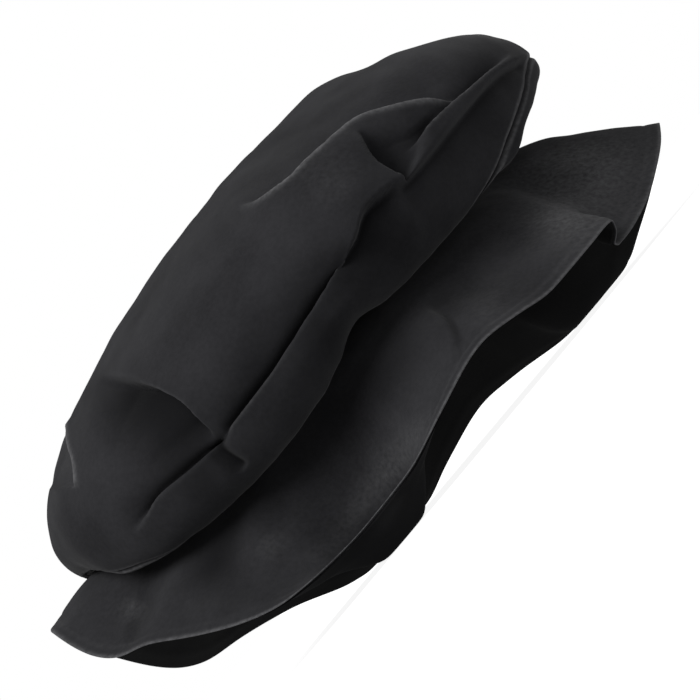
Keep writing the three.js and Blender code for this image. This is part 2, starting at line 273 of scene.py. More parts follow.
CROWN_GIRTH = table(
    GirthRow,
    (6, 169, 110, 10, 2, 8),
    (20, 166, 106, 8, 4, 5),
    (45, 159, 101, 9, 6, 4),
    (90, 152, 97, 12, 12, 3),
    (140, 157, 106, 9, 6, 3),
    (165, 157, 111, 11, 4, 2),
    (175, 157, 112, 12, 4, 1),
    (182, 157, 112.5, 10.3, 4.2, 0),
    (190, 157.5, 112, 9.2, 4.5, 0.5),
    (197, 158, 110.5, 10, 4.5, 2.5),
    (205, 160.5, 107, 10.5, 4.5, 5.5),
    (210, 162, 102.5, 11.8, 4.5, 6),
    (215, 161.5, 98, 13, 6, 5),
    (222, 160, 93.5, 16.5, 10, 2),
    (235, 155, 88, 18.5, 18, 0),
    (250, 152, 86, 18.5, 22, 0),
    (262, 152, 87, 18, 21, 0),
    (270, 152, 88, 15, 20, 0),
    (278, 152.5, 89, 10, 18, 0),
    (286, 153.5, 89, 14, 20, 0),
    (310, 158, 90, 17, 18, 0),
    (320, 161, 94, 18.5, 8, 3),
    (327, 163.5, 96.5, 15, 5, 9.5),
    (335, 165.8, 100, 12.3, 3, 8),
    (345, 168, 105.5, 11, 2, 9),
    (355, 169.5, 110, 10.5, 1.5, 9.5),
)

CROWN_DENTS = table(
    Dent,
    (140, 2, 32, 12.5),
    (95, 0, 20, -3.8),
    (-25, 0, 40, 1.5),
    (-147, 0, 18, 5),
    (-30, 62, 46, 6),
    (62, 58, 34, 4),
    (70, -58, 30, 3),
)

# A seventh value paints a highlight on the crown above 0 and shade below 0; rows with no depth are
# only painted light or shade.
CROWN_HOLLOWS = table(
    Hollow,
    (Face.FRONT, -76, 148, 7, 10, 2.0),
    (Face.FRONT, 92, 117, 15, 10, 3.0, -0.1),
    (Face.FRONT, 60, 126, 12, 16, 0, 0.1),
    (Face.FRONT, 92, 78, 48, 16, 12.0),
    (Face.FRONT, 58, 90, 22, 12, 0, -0.45),
    (Face.FRONT, 4, 84, 18, 11, 0, -0.6),
    (Face.FRONT, 122, 92, 32, 10, 0, -0.15),
    (Face.FRONT, -78, 87, 18, 9, 0, -0.5),
    (Face.FRONT, -78, 128, 14, 34, 0, -0.4),
    (Face.FRONT, 0, 108, 60, 10, 0, -0.2),
    (Face.FRONT, -70, 76, 5, 6, -1.5),
    (Face.BACK, 20, 86, 60, 12, 5.0),
)


def smoothstep(value: Array | float, low: float, high: float) -> Array:
    """A smooth step from 0 at low to 1 at high, level at both ends."""
    t = np.clip((value - low) / (high - low), 0, 1)
    return t * t * (3 - 2 * t)


def bell(distance: Array | float, width: float) -> Array:
    """The exponential of minus the square of distance over width."""
    return np.exp(-np.square(distance / width))


def nearness(azimuth: Array | float, centre: float, spread: float) -> Array:
    """How near an azimuth is to another, from 1 at the same place to 0 far round."""
    return bell((azimuth - centre + 180) % 360 - 180, spread)


def unit(vectors: Array) -> Array:
    """The same directions at length 1."""
    return vectors / np.maximum(np.linalg.norm(vectors, axis=-1, keepdims=True), 1e-9)


def blurred(values: Array, reach: float) -> Array:
    """Values once round the hat, blurred with a bell.

    Args:
        values: equally spaced values once round.
        reach: the bell's standard deviation, in steps.

    Returns:
        The values times the bell's spectrum, turned back.
    """
    waves = np.fft.rfftfreq(len(values)) * 2 * np.pi
    return np.fft.irfft(np.fft.rfft(values) * np.exp(-0.5 * (waves * reach) ** 2), len(values))


def around(radius: Array | float, azimuth: Array, height: Array) -> Array:
    """Points at a radius, an azimuth and a height round the head ring's axis."""
    turned = np.radians(azimuth)
    return np.stack([radius * np.cos(turned), radius * np.sin(turned), height], axis=-1)


def placed(name: str, data: bpy.types.ID) -> bpy.types.Object:
    """A new object in the scene."""
    thing = bpy.data.objects.new(name, data)
    bpy.context.scene.collection.objects.link(thing)
    return thing


@dataclass(frozen=True)
class RoundCurve:
    """A smooth curve through table rows, once round the hat, that doesn't swing past them.

    Between rows it is a cubic. Its slope at each row is the harmonic mean of the slopes to the
    rows beside it, or level where they turn.
    """

    azimuths: Array
    values: Array

    @classmethod
    def through(cls, rows: Sequence[NamedTuple], key: str) -> RoundCurve:
        """The curve of one column of a table.

        Args:
            rows: table rows, each with an azimuth, in order round the hat.
            key: the column's name.

        Returns:
            The curve.
        """
        azimuths = np.array([row.azimuth for row in rows], float)
        return cls(azimuths, np.array([getattr(row, key) for row in rows], float))

    def __call__(self, azimuth: Array | float) -> Array:
        """The curve's value at each azimuth."""
        span = (np.roll(self.azimuths, -1) - self.azimuths) % 360
        ahead = (np.roll(self.values, -1) - self.values) / span
        behind = np.roll(ahead, 1)
        total = np.where(ahead * behind > 0, ahead + behind, 1)
        slope = np.where(ahead * behind > 0, 2 * ahead * behind / total, 0)
        starts = np.concatenate([[0], np.cumsum(span)[:-1]])
        turned = (np.asarray(azimuth) - self.azimuths[0]) % 360
        i = np.clip(np.searchsorted(starts, turned, side="right") - 1, 0, len(span) - 1)
        j = (i + 1) % len(span)
        t = (turned - starts[i]) / span[i]
        rise = (self.values[j] - self.values[i]) * t * t * (3 - 2 * t)
        bend = t * (1 - t) * span[i] * (slope[i] * (1 - t) - slope[j] * t)
        return self.values[i] + rise + bend


@dataclass(frozen=True)
class Lap:
    """A line along which cloth folds over itself, drawn on the elevation of one side.

    The cloth to the left of the line, going from its first point to its last, stands out by
    rise, and the cloth to the right is tucked in by sink, with a narrow gutter beside the line.
    Each fades over its width. The folded edge reaches over the tucked cloth by over. A highlight
    is painted along the fold, strongest at a set share of edge past the line, and painted shade
    where that is below 0. Shade is painted into the tuck, fading over a set share of sink_width.
    The slide fades over slide_reach of edge and slide_least more.
    """

    side: Face
    line: tuple[tuple[float, float], ...]
    rise: float
    rise_width: float
    sink: float
    sink_width: float
    gutter: float = 0.0
    over: float = 2.0
    painted_crest: float = 0.5
    painted_shade: float = 0.0
    edge: float = 1.4
    gutter_width: float = 3.6
    ends: float = 0.14
    painted_crest_at: float = 0.6
    slide_reach: float = 4
    slide_least: float = 2
    painted_shade_reach: float = 0.7

    def smooth_line(self, steps: int = 48) -> Array:
        """Points along a Catmull-Rom curve through the line's own points."""
        points = np.array(self.line, float)
        last = len(points) - 1
        at = np.linspace(0, last, steps + 1)
        i = np.minimum(at.astype(int), last)
        t = (at - i)[:, None]
        before = points[np.where(i == 0, i, i - 1)]
        here = points[i]
        there = points[np.minimum(i + 1, last)]
        beyond = points[np.minimum(i + 2, last)]
        leave = (there - before) / 2
        arrive = (beyond - here) / 2
        cubic = (2 * here - 2 * there + leave + arrive) * t**3
        square = (3 * there - 3 * here - 2 * leave - arrive) * t**2
        return cubic + square + leave * t + here

    def step(self, x: Array, z: Array) -> tuple[Array, Array, Array]:
        """How the cloth moves at points of the elevation.

        Depth is a smooth step, edge to each side of the line, between the tucked bell and the
        raised bell. Slip is how far the cloth slides towards the tucked side: forwards on the
        folded edge and backwards under it.

        Args:
            x: the points' places across.
            z: the points' heights.

        Returns:
            The depth, the slip as a vector of the elevation, and the painted light: a painted
            highlight above 0, painted shade below 0.
        """
        line = self.smooth_line()
        nearest = np.full(x.shape, np.inf)
        signed = np.zeros(x.shape)
        along = np.zeros(x.shape)
        across = np.zeros((*x.shape, 2))
        for i, (start, chord) in enumerate(zip(line[:-1], np.diff(line, axis=0))):
            away_x = x - start[0]
            away_z = z - start[1]
            t = np.clip((away_x * chord[0] + away_z * chord[1]) / (chord @ chord), 0, 1)
            distance = np.hypot(away_x - chord[0] * t, away_z - chord[1] * t)
            left = np.where(chord[0] * away_z - chord[1] * away_x > 0, 1, -1)
            closer = distance < nearest
            nearest = np.where(closer, distance, nearest)
            signed = np.where(closer, left * distance, signed)
            along = np.where(closer, (i + t) / (len(line) - 1), along)
            right = np.array([chord[1], -chord[0]]) / np.hypot(*chord)
            across = np.where(closer[..., None], right, across)
        fade = smoothstep(along, 0, self.ends) * smoothstep(1 - along, 0, self.ends)
        turn = smoothstep(signed, -self.edge, self.edge)
        raised = self.rise * bell(signed, self.rise_width)
        tucked = -self.sink * bell(signed, self.sink_width)
        tucked = tucked - self.gutter * bell(signed, self.gutter_width)
        slide_width = self.slide_reach * self.edge + self.slide_least
        slide = self.over * (2 * turn - 1) * bell(np.abs(signed) - self.edge, slide_width)
        # A highlight is painted along the fold's crest and shade is painted into the tuck.
        painted_light = self.painted_crest * bell(signed - self.painted_crest_at * self.edge, self.edge)
        painted_light = painted_light - self.painted_shade * (1 - turn) * bell(signed, self.painted_shade_reach * self.sink_width)
        depth = fade * (tucked + (raised - tucked) * turn)
        return depth, (fade * slide)[..., None] * across, fade * painted_light


# Each fold below paints a highlight along its crest, shade where that is below 0, and shade into
# its tuck.
CROWN_LAPS = (
    Lap(
        Face.FRONT,
        ((-58, 89), (-65, 91), (-74, 92.6), (-82, 94), (-97, 97), (-108, 96), (-121, 96)),
        2, 12, 4, 14, gutter=2.7, over=1.4, painted_crest=0.2, painted_shade=0.6, edge=1.8, ends=0.24,
    ),
    Lap(
        Face.FRONT,
        ((48, 103.5), (34, 100.5), (19, 98), (0, 95.5), (-20, 93), (-39, 92), (-54, 91), (-63, 87)),
        2, 14, 4.5, 14, gutter=4, over=1.6, painted_crest=0.25, painted_shade=0.4, edge=1.7, ends=0.2,
    ),
    Lap(
        Face.FRONT,
        (
            (14, 97.3), (30, 99.5), (43, 102), (50, 104),
            (56, 107), (63, 108.5), (74, 106), (84, 103),
        ),
        2, 12, 5, 22, gutter=2, over=1, painted_crest=0.15, painted_shade=0.55, ends=0.24,
    ),
    Lap(
        Face.FRONT,
        ((76, 104), (90, 102.5), (122, 103), (142, 103), (155, 102), (168, 99)),
        1.5, 6, 3, 20, gutter=2, over=0.8, painted_crest=0, painted_shade=0.45, edge=2,
    ),
    Lap(
        Face.FRONT,
        ((160, 106.5), (136, 109), (124, 110), (112, 111), (94, 114)),
        1.5, 5, 3.5, 8, gutter=1, over=1.2, painted_crest=0.35, painted_shade=0.05, ends=0.2,
    ),
    Lap(
        Face.FRONT,
        ((83.5, 102), (82, 107), (80.6, 114), (80.5, 121), (82.5, 127), (86, 132)),
        1.5, 20, 7.5, 24, gutter=1.5, over=1.5, painted_crest=0.2, painted_shade=0.35, ends=0.2,
    ),
    Lap(
        Face.FRONT,
        ((132, 108), (116, 120.8), (104, 129), (88.5, 138), (67, 141), (42, 144), (24, 155)),
        4, 13, 4.5, 20, over=1.5, painted_crest=1.0, edge=1.8, ends=0.18,
    ),
    Lap(
        Face.FRONT,
        ((-78, 157), (-70, 146), (-64, 136), (-60.5, 126), (-58.5, 115), (-60, 105), (-62, 95)),
        1, 18, 8, 30, gutter=2, over=1.2, painted_crest=0.25, painted_shade=0.7, ends=0.2,
    ),
    Lap(
        Face.FRONT,
        ((-103, 157), (-109, 147), (-114, 138), (-122, 130)),
        1.2, 12, 4.5, 16, over=0.8, painted_crest=0.8, painted_shade=-0.1, edge=1.8,
    ),
    Lap(
        Face.FRONT,
        ((-64.5, 94), (-64.5, 85), (-63, 75)),
        -5, 3.2, 5, 3.2, over=0, painted_crest=-0.9, edge=2, ends=0.2,
    ),
    Lap(
        Face.BACK,
        ((-112, 106), (-60, 103), (0, 108), (62, 104)),
        2.5, 18, 4, 16, gutter=2, painted_crest=0.2, painted_shade=0.3, edge=1.8, ends=0.3,
    ),
    Lap(
        Face.BACK,
        ((86, 156), (66, 140), (58, 120), (62, 104)),
        2, 22, 4.5, 22, over=1, painted_crest=0.2, painted_shade=0.3, edge=2.6, ends=0.45,
    ),
    Lap(
        Face.BACK,
        ((-118, 120), (-96, 138), (-84, 156)),
        2, 18, 4, 20, over=1, painted_crest=0.2, painted_shade=0.3, edge=2.8, ends=0.45,
    ),
)

BRIM_LAPS = (
    Lap(
        Face.FRONT,
        ((28, 32), (40, 38), (45, 46), (45, 54), (43, 62)),
        1.2, 9, 1.6, 7, over=0.6, painted_crest=0, edge=2.4, ends=0.35,
    ),
    Lap(
        Face.FRONT,
        ((-60, 68), (-84, 50), (-104, 33)),
        2.2, 8, -2.2, 8, over=0, painted_crest=0, ends=0.4,
    ),
    Lap(
        Face.FRONT,
        ((-166, 62), (-150, 71), (-128, 81)),
        0.9, 8, 0.8, 7, over=0.3, painted_crest=0, edge=2.6, ends=0.35,
    ),
    Lap(
        Face.BACK,
        ((70, 62), (86, 44), (96, 26)),
        2.2, 9, -2.2, 9, over=0, painted_crest=0, ends=0.4,
    ),
)


class Relief(NamedTuple):
    """How far cloth stands out, how it slips, and the light and shade painted on it."""

    depth: Array
    slip: Array
    painted_light: Array


@dataclass(frozen=True)
class Moulding:
    """The laps and hollows of a piece, each on its own side of the hat."""

    laps: tuple[Lap, ...]
    hollows: tuple[Hollow, ...]
    side_fade: float = 40

    def relief(self, points: Array) -> Relief:
        """What the laps and hollows do at points of the plain cloth.

        A hollow is the product of a bell across and a bell up. Each lap or hollow fades
        towards the line between the front and the back.
        """
        depth = np.zeros(points.shape[:-1])
        slip = np.zeros(points.shape)
        painted_light = np.zeros(points.shape[:-1])
        x, y, z = points[..., 0], points[..., 1], points[..., 2]
        facing = {side: smoothstep(side.value * y, 0, self.side_fade) for side in Face}
        for lap in self.laps:
            rise, slide, nap = lap.step(x, z)
            depth += facing[lap.side] * rise
            slip[..., 0] += facing[lap.side] * slide[..., 0]
            slip[..., 2] += facing[lap.side] * slide[..., 1]
            # The folds' painted highlight and painted shade add up.
            painted_light += facing[lap.side] * nap
        for hollow in self.hollows:
            pressed = bell(x - hollow.x, hollow.wide) * bell(z - hollow.z, hollow.high)
            depth -= facing[hollow.side] * hollow.depth * pressed
            # Hollows paint light or shade on the cloth, whether or not they have depth.
            painted_light += facing[hollow.side] * hollow.nap * pressed
        return Relief(depth, slip, np.clip(painted_light, -1, 1))


@dataclass(frozen=True)
class Ripple:
    """The small unevenness of soft cloth: a sum of slanting waves in space.

    Each wave is a sine of the point's distance along its own direction, with a length drawn
    between shortest and longest, and the sum has a spread of about height.
    """

    seed: int
    shortest: float
    longest: float
    height: float
    waves: int = 18

    def __call__(self, points: Array) -> Array:
        """The depth of the ripple at each point."""
        draw = np.random.default_rng(self.seed)
        total = np.zeros(points.shape[:-1])
        for _ in range(self.waves):
            direction = unit(draw.normal(size=3))
            length = self.shortest * (self.longest / self.shortest) ** draw.random()
            phase = draw.random() * 2 * np.pi
            total += np.sin(points @ direction * (2 * np.pi / length) + phase)
        return total * self.height / math.sqrt(self.waves / 2)


class Weaver:
    """Collects the points and faces of one closed piece of cloth, in millimetres."""

    def __init__(self, axis: tuple[float, float]) -> None:
        """Starts an empty piece.

        Args:
            axis: the head ring's axis from the frame's origin.
        """
        self.axis = np.array([axis[0], axis[1], 0.0])
        self.points: list[Array] = []
        self.painted_light: list[Array] = []
        self.faces: list[list[int]] = []
        self.count = 0

    def add(self, grid: Array, painted_light: Array | float = 0.0) -> Array:
        """Adds a grid of points.

        Args:
            grid: the points.
            painted_light: the light painted at each of them, a highlight up to 1 and shade down to
                -1.

        Returns:
            The points' numbers in the same grid.
        """
        numbers = self.count + np.arange(grid[..., 0].size).reshape(grid.shape[:-1])
        self.points.append(grid.reshape(-1, 3))
        self.painted_light.append(np.broadcast_to(painted_light, numbers.shape).ravel())
        self.count += numbers.size
        return numbers

    def patch(self, numbers: Array, turned: bool = False) -> None:
        """Fills a grid of numbers with four-sided faces.

        Args:
            numbers: the grid. Rows go outwards and columns go anticlockwise from above.
            turned: whether the faces look down instead of up.
        """
        corners = [numbers[:-1, :-1], numbers[1:, :-1], numbers[1:, 1:], numbers[:-1, 1:]]
        faces = np.stack([corner.ravel() for corner in corners], axis=1)
        self.faces += (faces[:, ::-1] if turned else faces).tolist()

    def ring(self, numbers: Array, turned: bool = False) -> None:
        """Fills a grid of numbers that closes once round."""
        self.patch(np.concatenate([numbers, numbers[:, :1]], axis=1), turned)

    def hem(self, fine: Array, coarse: Array, turned: bool = False) -> None:
        """Joins two closed edges, where each coarse step spans several fine ones.

        Args:
            fine: numbers of the upper edge.
            coarse: numbers of the lower edge, a whole share of the upper one's count.
            turned: whether the faces look inwards instead of outwards.
        """
        each = len(fine) // len(coarse)
        following = np.roll(coarse, -1)
        closed = np.append(fine, fine[0])
        steps = [closed[k : k + len(fine) : each] for k in range(each, -1, -1)]
        faces = np.stack([steps[-1], coarse, following, *steps[:-1]], axis=1)
        self.faces += (faces[:, ::-1] if turned else faces).tolist()

    def finish(self, name: str) -> bpy.types.Object:
        """Makes the piece as a Blender object with smooth faces."""
        points = (np.concatenate(self.points) + self.axis) * MM
        mesh = bpy.data.meshes.new(name)
        mesh.from_pydata(points.tolist(), [], self.faces)
        # The painted highlight and painted shade go on the mesh for the material.
        nap = mesh.attributes.new(PAINTED_LIGHT, "FLOAT", "POINT")
        nap.data.foreach_set("value", np.concatenate(self.painted_light))
        mesh.shade_smooth()
        mesh.update()
        return placed(name, mesh)


def normals_of(surface: Callable[[Array, Array], Array], azimuth: Array, along: Array) -> Array:
    """The outward direction of a surface at each place.

    It is the cross product of the step outwards and the step round, each a small difference.

    Args:
        surface: gives points for azimuths and places along the cloth.
        azimuth: azimuths.
        along: places along the cloth.

    Returns:
        The directions, at length 1.
    """
    turn = 0.2
    step = 0.004
    outwards = surface(azimuth, along + step) - surface(azimuth, along - step)
    round_it = surface(azimuth + turn, along) - surface(azimuth - turn, along)
    return unit(np.cross(outwards, round_it))


def rim_of(grid: Array) -> Array:
    """The border of a square grid, anticlockwise from the corner at azimuth -45 degrees."""
    right = grid[-1, :-1]
    back = grid[:0:-1, -1]
    left = grid[0, :0:-1]
    front = grid[:-1, 0]
    return np.concatenate([right, back, left, front])


def deepest_near(depth: Array, cells: int) -> Array:
    """The lowest value within some cells of each place of a grid."""
    for axis in (0, 1):
        spread = [np.roll(depth, shift, axis) for shift in range(-cells, cells + 1)]
        depth = np.min(spread, axis=0)
    return depth


@dataclass
class SewnToRing:
    """The head ring that the crown and the brim are sewn to, and the gap between two cloths."""

    head_radius: float = 92.5
    ring_height: float = 84
    gap: float = 0.3


@dataclass
class Crown(SewnToRing):
    """The puffed crown: a disc of cloth over a ring of cloth, sewn edge to edge.

    Tip_unit and side_unit are the millimetres that stand for one unit along the cloth where
    half the seam's gap is taken off the disc and off the ring.
    """

    cloth: float = 1.8
    apex: tuple[float, float, float] = (30, 0, 172.4)
    widest_at: float = 0.88
    fullness: float = 0.18
    ring_lead: float = 14
    ring_lift: float = 5.5
    sag_pull: float = 2.25
    sag_push: float = 0.8
    seam_groove: float = 0.2
    seam_ridge: float = 0.35
    ridge_away: float = 2.0
    groove_width: float = 1.3
    ridge_width: float = 1.5
    # A highlight painted along the seam, beside its ridge.
    seam_highlight: float = 0.7
    seam_highlight_width: float = 1.1
    seam_hold: float = 3.5
    tip_unit: float = 40
    side_unit: float = 60
    dent_fade: float = 20
    normal_span: tuple[float, float] = (0.005, 1.99)
    pole_fade: tuple[float, float] = (0.01, 0.05)
    fold_fade: tuple[float, float] = (0.02, 0.26)
    ripple_fade: tuple[float, float] = (1.7, 2)
    level_before: float = 0.06
    level_past: float = 0.03
    tip_cells: int = 292
    side_rows: int = 56
    lining_step: int = 4
    moulding: Moulding = Moulding(CROWN_LAPS, CROWN_HOLLOWS)
    ripples: tuple[Ripple, ...] = (Ripple(3, 45, 110, 0.35), Ripple(4, 12, 30, 0.14))
    girth: dict[str, RoundCurve] = field(default_factory=dict)

    def __post_init__(self) -> None:
        """Prepares the curves of the girth table."""
        for key in ("reach", "waist", "drop", "tuck", "sag"):
            self.girth[key] = RoundCurve.through(CROWN_GIRTH, key)
        self.leave = RoundCurve.through(BRIM_EDGE, "leave")

    def dome(self, azimuth: Array, along: Array) -> Array:
        """The crown's top before it is folded, from the apex at 0 to the seam at 1.

        A quarter of an ellipse goes down to the widest line, fuller at the front and the back,
        and then a smaller one goes under it.
        """
        reach = self.girth["reach"](azimuth)
        waist = self.girth["waist"](azimuth)
        c = np.cos(np.radians(azimuth))
        s = np.sin(np.radians(azimuth))
        turn = np.minimum(along / self.widest_at, 1) * np.pi / 2
        out = np.sin(turn)
        full = 1 - self.fullness * np.abs(s)
        over_x = self.apex[0] + (reach * c - self.apex[0]) * out
        over_y = self.apex[1] + (reach * s - self.apex[1]) * out
        height = np.maximum(np.cos(turn), 0) ** full
        over_z = waist + (self.apex[2] - waist) * height
        roll = np.clip((along - self.widest_at) / (1 - self.widest_at), 0, None) * np.pi / 2
        radius = reach - self.girth["tuck"](azimuth) * (1 - np.cos(roll))
        under_z = waist - self.girth["drop"](azimuth) * np.sin(roll)
        over = np.stack([over_x, over_y, over_z], axis=-1)
        below = (along > self.widest_at)[..., None]
        return np.where(below, around(radius, azimuth, under_z), over)

    def under_ring(self, azimuth: Array, t: Array) -> Array:
        """The under ring's lower surface, from the seam at 0 to the head ring at 1.

        It is a cubic Bezier curve that hangs a little and meets the brim's slope at the ring.
        """
        seam = self.dome(azimuth, np.ones_like(azimuth))
        seam_r = np.hypot(seam[..., 0], seam[..., 1])
        ring_z = self.ring_height + self.gap
        lead_z = ring_z - self.ring_lead * np.tan(np.radians(self.leave(azimuth))) + self.ring_lift
        sag = self.girth["sag"](azimuth)
        pulled = seam[..., 2] - self.sag_pull * sag
        pushed = seam_r + self.sag_push * sag
        weights = ((1 - t) ** 3, 3 * t * (1 - t) ** 2, 3 * t**2 * (1 - t), t**3)
        radii = (seam_r, pushed, self.head_radius + self.ring_lead, self.head_radius)
        heights = (seam[..., 2], pulled, lead_z, ring_z)
        r = sum(weight * radius for weight, radius in zip(weights, radii))
        z = sum(weight * height for weight, height in zip(weights, heights))
        return around(r, azimuth, z)

    def plain(self, azimuth: Array, along: Array) -> Array:
        """The whole crown before it is folded: its top up to 1, and its under ring up to 2."""
        top = self.dome(azimuth, np.clip(along, 0, 1))
        under = self.under_ring(azimuth, np.clip(along - 1, 0, 1))
        return np.where((along > 1)[..., None], under, top)

    def folds(self, points: Array) -> Relief:
        """What the laps, the hollows and the dents of the top do at points of the plain crown."""
        depth, slip, painted_light = self.moulding.relief(points)
        low = float(np.mean(self.girth["waist"].values))
        upper = smoothstep(points[..., 2], low, low + self.dent_fade)
        for dent in CROWN_DENTS:
            away = np.hypot(points[..., 0] - dent.x, points[..., 1] - dent.y)
            depth = depth - upper * dent.depth * bell(away, dent.radius)
        return Relief(depth, slip, painted_light)

    def seam_relief(self, distance: Array) -> Array:
        """A groove at the seam with a ridge beside it, at a distance from the seam."""
        groove = -self.seam_groove * bell(distance, self.groove_width)
        return groove + self.seam_ridge * bell(distance - self.ridge_away, self.ridge_width)

    def directions(self, azimuth: Array, along: Array, away: Array) -> tuple[Array, Array]:
        """The ways in which the cloth moves out.

        The first is square to the cloth. It points up at the apex, and out and down along the
        whole seam, so that both pieces keep together there. The second carries the folds: it
        is the same down to the widest line and level below it.

        Args:
            azimuth: azimuths.
            along: places along the cloth.
            away: distances from the seam.

        Returns:
            Both directions, at length 1.
        """
        level = around(1, azimuth, np.zeros_like(azimuth))
        out = normals_of(self.plain, azimuth, np.clip(along, *self.normal_span))
        pole = smoothstep(along, *self.pole_fade)[..., None]
        seam = bell(away, self.seam_hold)[..., None]
        out = unit(out * pole + UP * (1 - pole))
        out = unit(out * (1 - seam) + unit(level - UP) * seam)
        level_from = self.widest_at - self.level_before
        low = smoothstep(along, level_from, self.widest_at + self.level_past)[..., None]
        return out, unit(out * (1 - low) + level * low)

    def surface(
        self, azimuth: Array, along: Array, lining: bool = False
    ) -> tuple[Array, Array, Array]:
        """The folded crown.

        Args:
            azimuth: azimuths.
            along: places from the apex at 0, past the seam at 1, to the head ring at 2.
            lining: whether to give the inner face, which keeps below the folds near by.

        Returns:
            The points, the outward directions, and the light painted at each point.
        """
        plain = self.plain(azimuth, along)
        seam = self.dome(azimuth, np.ones_like(azimuth))
        away = np.linalg.norm(plain - seam, axis=-1)
        out, carry = self.directions(azimuth, along, away)
        under = np.clip(along - 1, 0, 1)
        folded = np.where((under > 0)[..., None], seam, plain)
        depth, slip, painted_light = self.folds(folded)
        fade = smoothstep(along, *self.fold_fade) * (1 - under) ** 2
        depth = depth * fade
        fine = self.seam_relief(away)
        for ripple in self.ripples:
            fine = fine + ripple(plain) * (1 - smoothstep(along, *self.ripple_fade))
        slip = slip * fade[..., None]
        slip = slip - out * np.sum(slip * out, axis=-1, keepdims=True)
        # A highlight painted beside the seam's ridge, over the folds' painted light and shade.
        painted_light = painted_light * fade + self.seam_highlight * bell(away - self.ridge_away, self.seam_highlight_width)
        if lining:
            depth = deepest_near(depth, self.lining_step + 1)
            fine = fine - self.cloth
            slip = 0 * slip
        return plain + carry * depth[..., None] + out * fine[..., None] + slip, out, painted_light

    def columns(self, squares: Array) -> Array:
        """Azimuths for angles of the square net, closer together at the front."""
        crowding = 0.35
        return squares - math.degrees(crowding) * np.cos(np.radians(squares))

    def net(self) -> tuple[Array, Array]:
        """A square net laid over the crown's disc, with no pole at the apex.

        Each square ring of the net becomes a round one: the larger of its two coordinates is
        the radius, and their quotient is the angle within its quarter.

        Returns:
            The azimuth and the place along the cloth of each knot.
        """
        side = np.linspace(-1, 1, self.tip_cells + 1)
        a, b = np.meshgrid(side, side, indexing="ij")
        wide = np.abs(a) > np.abs(b)
        long = np.where(wide, a, b)
        share = np.where(wide, b, a) / np.where(long == 0, 1, long)
        angle = np.where(wide, 45 * share, 90 - 45 * share) + np.where(long < 0, 180, 0)
        radius = np.abs(long)
        middle_stretch = 0.3
        along = radius + middle_stretch * radius * (1 - radius)
        return self.columns(angle), along

    def tip(self, axis: tuple[float, float]) -> bpy.types.Object:
        """The disc of cloth that makes the top, as a wall with its inner face more coarse."""
        azimuth, along = self.net()
        along = np.minimum(along, 1 - self.gap / 2 / self.tip_unit)
        points, _, painted_light = self.surface(azimuth, along)
        inner_points, _, _ = self.surface(azimuth, along, lining=True)
        step = self.lining_step
        weaver = Weaver(axis)
        outer_numbers = weaver.add(points, painted_light)
        inner_numbers = weaver.add(inner_points[::step, ::step])
        weaver.patch(outer_numbers)
        weaver.patch(inner_numbers, turned=True)
        weaver.hem(rim_of(outer_numbers), rim_of(inner_numbers))
        return weaver.finish("crown_tip_cloth")

    def side(self, axis: tuple[float, float]) -> bpy.types.Object:
        """The ring of cloth under the crown, from the seam in to the head ring."""
        squares = -45 + 360 * np.arange(4 * self.tip_cells) / (4 * self.tip_cells)
        azimuths = self.columns(squares)
        share = np.linspace(0, 1, self.side_rows + 1)
        seam_crowding = 1.6
        short = self.gap / 2 / self.side_unit
        rows = 1 + share**seam_crowding * (1 - short) + short
        azimuth, along = np.meshgrid(azimuths, rows)
        points, out, painted_light = self.surface(azimuth, along)
        step = self.lining_step
        inner_points = (points - out * self.cloth)[::step, ::step]
        weaver = Weaver(axis)
        outer_numbers = weaver.add(points, painted_light)
        inner_numbers = weaver.add(inner_points)
        weaver.ring(outer_numbers)
        weaver.ring(inner_numbers, turned=True)
        weaver.hem(outer_numbers[-1], inner_numbers[-1])
        weaver.hem(outer_numbers[0], inner_numbers[0], turned=True)
        return weaver.finish("crown_side_cloth")


